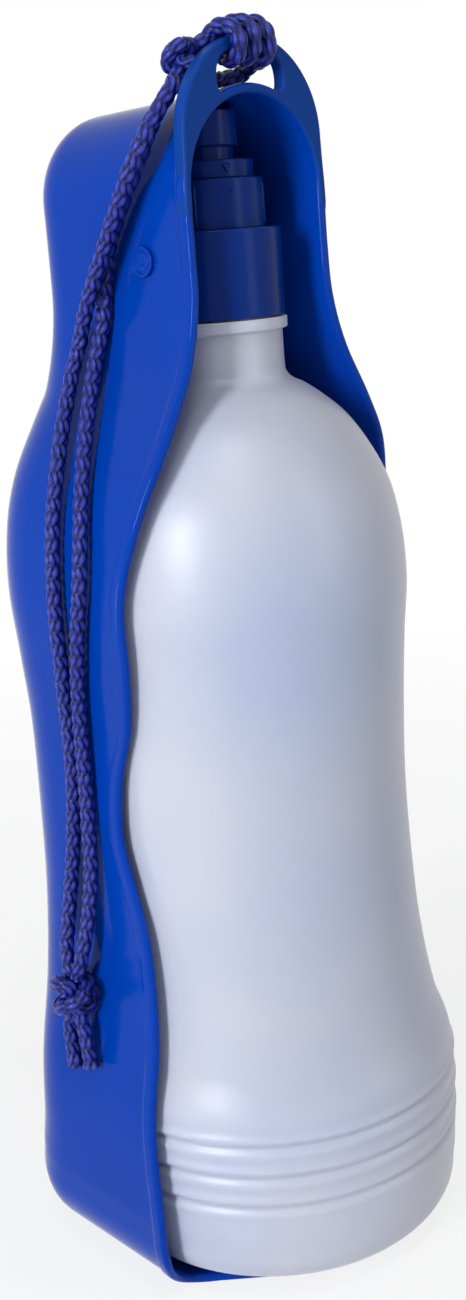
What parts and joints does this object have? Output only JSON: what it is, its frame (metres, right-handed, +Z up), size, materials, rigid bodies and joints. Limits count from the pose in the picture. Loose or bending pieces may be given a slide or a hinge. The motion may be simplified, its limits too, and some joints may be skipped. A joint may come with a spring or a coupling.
{
  "type": "dog travel water bottle",
  "caption": "Pet travel drinking bottle: a frosted squeeze bottle hung by its cap in a blue trough that it swings out of, with a twist nozzle and a braided cord lanyard.",
  "frame": {"origin": "where the bottle's axis meets the trough's flat bottom end, on which the product stands", "axes": "+Z up along the bottle's axis to the nozzle, -Y to the open front of the trough, +X to the right seen from the front"},
  "size_m": [0.0856, 0.0776, 0.2367],
  "materials": {
    "trough_plastic": "glossy royal blue injection-moulded polypropylene",
    "bottle_plastic": "pearly frosted white blow-moulded polyethylene",
    "cap_plastic": "satin navy blue injection-moulded polypropylene",
    "seal_rubber": "translucent grey silicone",
    "cord_fabric": "violet blue braided polypropylene cord with a satin lustre"
  },
  "bodies": {
    "trough": {"tray": "trough_plastic", "lanyard_wrap": "cord_fabric", "lanyard_upper_knot": "cord_fabric", "lanyard_strand_rear": "cord_fabric", "lanyard_strand_front": "cord_fabric", "lanyard_lower_knot": "cord_fabric", "lanyard_tail_rear": "cord_fabric", "lanyard_tail_front": "cord_fabric"},
    "cap": {"cap": "cap_plastic", "valve_housing": "cap_plastic", "valve_seal": "seal_rubber", "pivot_pin_left": "trough_plastic", "pivot_pin_right": "trough_plastic"},
    "knob": {"nozzle_knob": "cap_plastic", "nozzle_oring": "seal_rubber"},
    "gasket": {"collar_gasket": "seal_rubber"},
    "bottle": {"bottle": "bottle_plastic"}
  },
  "joints": [
    {"name": "trough_swing", "type": "hinge", "parent": "trough", "child": "cap", "pos_m": [0, 0, 0.1967], "axis": [-1, 0, 0], "range_deg": [0, 115]},
    {"name": "nozzle_turn", "type": "hinge", "parent": "cap", "child": "knob", "pos_m": [0, 0, 0.213], "axis": [0, 0, 1], "range_deg": [0, 90]},
    {"name": "bottle_unscrew", "type": "hinge", "parent": "gasket", "child": "bottle", "pos_m": [0, 0, 0.19], "axis": [0, 0, -1], "range_deg": [0, 180]},
    {"name": "neck_travel", "type": "slide", "parent": "cap", "child": "gasket", "axis": [0, 0, -1], "range_m": [0, 0.0015]}
  ],
  "couplings": [
    {"joint": "bottle_unscrew", "follows": "neck_travel", "rad_per_m": 2094.4}
  ]
}
